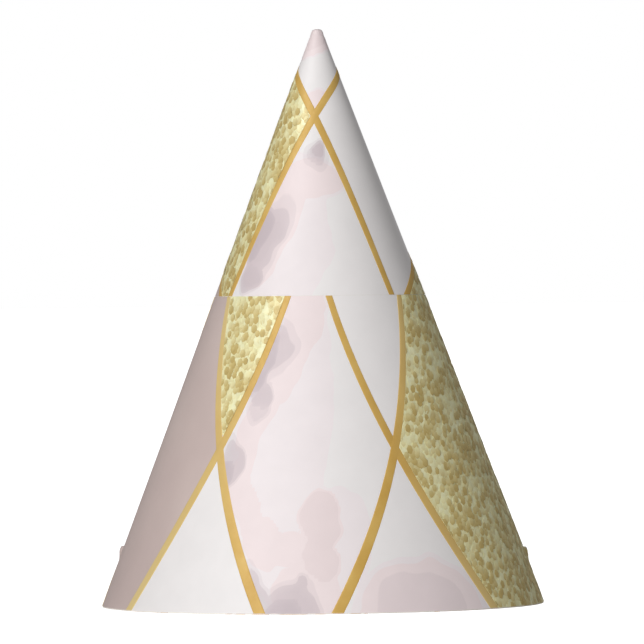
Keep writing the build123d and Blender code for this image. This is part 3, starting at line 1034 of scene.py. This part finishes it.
def glitter_panels():
    for seed, (name, bounds, low, high) in enumerate(PANELS, 100):
        low, high = filled(bounds, low, high)
        film = Solids()
        add_film(film, bounds, low, high)
        film.piece(name + "_film", GLITTER_BASE, "gold_glitter", name)
        flakes(name + "_flakes", bounds, low, high, seed)


cover_lower()
cover_upper()
card_cone()
foil_nets()
glitter_panels()
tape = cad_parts["tab_tape"]
tape.data.materials.clear()
tape.data.materials.append(TAPE_FILM)


# ---- stage, light and camera ------------
FLOOR_REACH = 60.0              # metres
FILL = 0.30                     # strength of the white surround


def floor_material():
    """Plain pale floor, clear from below."""
    s = Shader("floor_white", roughness=0.9, Specular_IOR_Level=0.1, Emission_Color=(1, 1, 1, 1),
               Emission_Strength=1.0)
    s.feed("Base Color", s.ramp(s.noise(60.0), ((0.0, srgb(250, 250, 250)), (1.0, srgb(252, 252, 252)))))
    clear = s.node("ShaderNodeBsdfTransparent")
    pick = s.node("ShaderNodeMixShader")
    s.link(s.node("ShaderNodeNewGeometry").outputs["Backfacing"], pick.inputs[0])
    s.link(s.surface.outputs[0], pick.inputs[1])
    s.link(clear.outputs[0], pick.inputs[2])
    s.link(pick.outputs[0], s.tree.nodes["Material Output"].inputs["Surface"])
    return s.material


def make_floor():
    mesh = bpy.data.meshes.new("floor")
    reach = FLOOR_REACH
    mesh.from_pydata([(-reach, -reach, 0), (reach, -reach, 0), (reach, reach, 0), (-reach, reach, 0)], [],
                     [(0, 1, 2, 3)])
    mesh.materials.append(floor_material())
    floor = bpy.data.objects.new("floor", mesh)
    bpy.context.scene.collection.objects.link(floor)
    floor.visible_diffuse = floor.visible_glossy = floor.visible_shadow = False


def sun(name, azimuth, elevation, strength, spread, diffuse=True, gloss=True):
    """A distant soft light; its azimuth is counted like the wall's, in degrees."""
    light = bpy.data.lights.new(name, "SUN")
    light.energy = strength
    light.angle = math.radians(spread)
    lamp = bpy.data.objects.new(name, light)
    turn, rise = math.radians(azimuth), math.radians(elevation)
    source = Vector((math.sin(turn) * math.cos(rise), -math.cos(turn) * math.cos(rise), math.sin(rise)))
    lamp.rotation_mode = "QUATERNION"
    lamp.rotation_quaternion = (-source).to_track_quat("-Z", "Y")
    lamp.visible_diffuse, lamp.visible_glossy = diffuse, gloss
    bpy.context.scene.collection.objects.link(lamp)


def make_light():
    """A white surround that gives an even fill, a soft key from the left, and a glow through the table."""
    world = bpy.data.worlds.new("studio")
    bpy.context.scene.world = world
    world.use_nodes = True
    nodes, links = world.node_tree.nodes, world.node_tree.links
    seen = nodes["Background"]
    fill = nodes.new("ShaderNodeBackground")
    pick = nodes.new("ShaderNodeMixShader")
    ray = nodes.new("ShaderNodeLightPath")
    seen.inputs["Color"].default_value = (1, 1, 1, 1)
    fill.inputs["Color"].default_value = (1, 1, 1, 1)
    fill.inputs["Strength"].default_value = FILL
    links.new(ray.outputs["Is Camera Ray"], pick.inputs[0])
    links.new(fill.outputs[0], pick.inputs[1])
    links.new(seen.outputs[0], pick.inputs[2])
    links.new(pick.outputs[0], nodes["World Output"].inputs["Surface"])
    sun("key", azimuth=-25.0, elevation=2.5, strength=2.22, spread=16.0, gloss=False)
    sun("sheen", azimuth=-42.0, elevation=42.0, strength=2.4, spread=24.0, diffuse=False)
    sun("back", azimuth=166.0, elevation=4.0, strength=1.3, spread=8.0, gloss=False)
    sun("table", azimuth=-60.0, elevation=-70.5, strength=2.0, spread=5.0, gloss=False)


# A long lens at the height of the break, as in the photo; metres.
CAMERA_DISTANCE = 2.213
VIEW_WIDTH = 0.2134             # what the picture takes in at the hat's axis
SENSOR = 36.0
EYE_Z = BREAK_Z * MM
AIM = Vector((0.00064, 0, 0.0935))
ROLL = math.radians(0.605)


def make_camera():
    camera = bpy.data.cameras.new("camera")
    camera.sensor_width = SENSOR
    camera.lens = SENSOR * CAMERA_DISTANCE / VIEW_WIDTH
    eye = bpy.data.objects.new("camera", camera)
    eye.location = (AIM.x, -CAMERA_DISTANCE, EYE_Z)
    look = (AIM - eye.location).to_track_quat("-Z", "Y")
    eye.rotation_mode = "QUATERNION"
    eye.rotation_quaternion = look @ Matrix.Rotation(-ROLL, 3, "Z").to_quaternion()
    bpy.context.scene.collection.objects.link(eye)
    bpy.context.scene.camera = eye


make_floor()
make_light()
make_camera()
bpy.context.scene.view_settings.view_transform = "Standard"
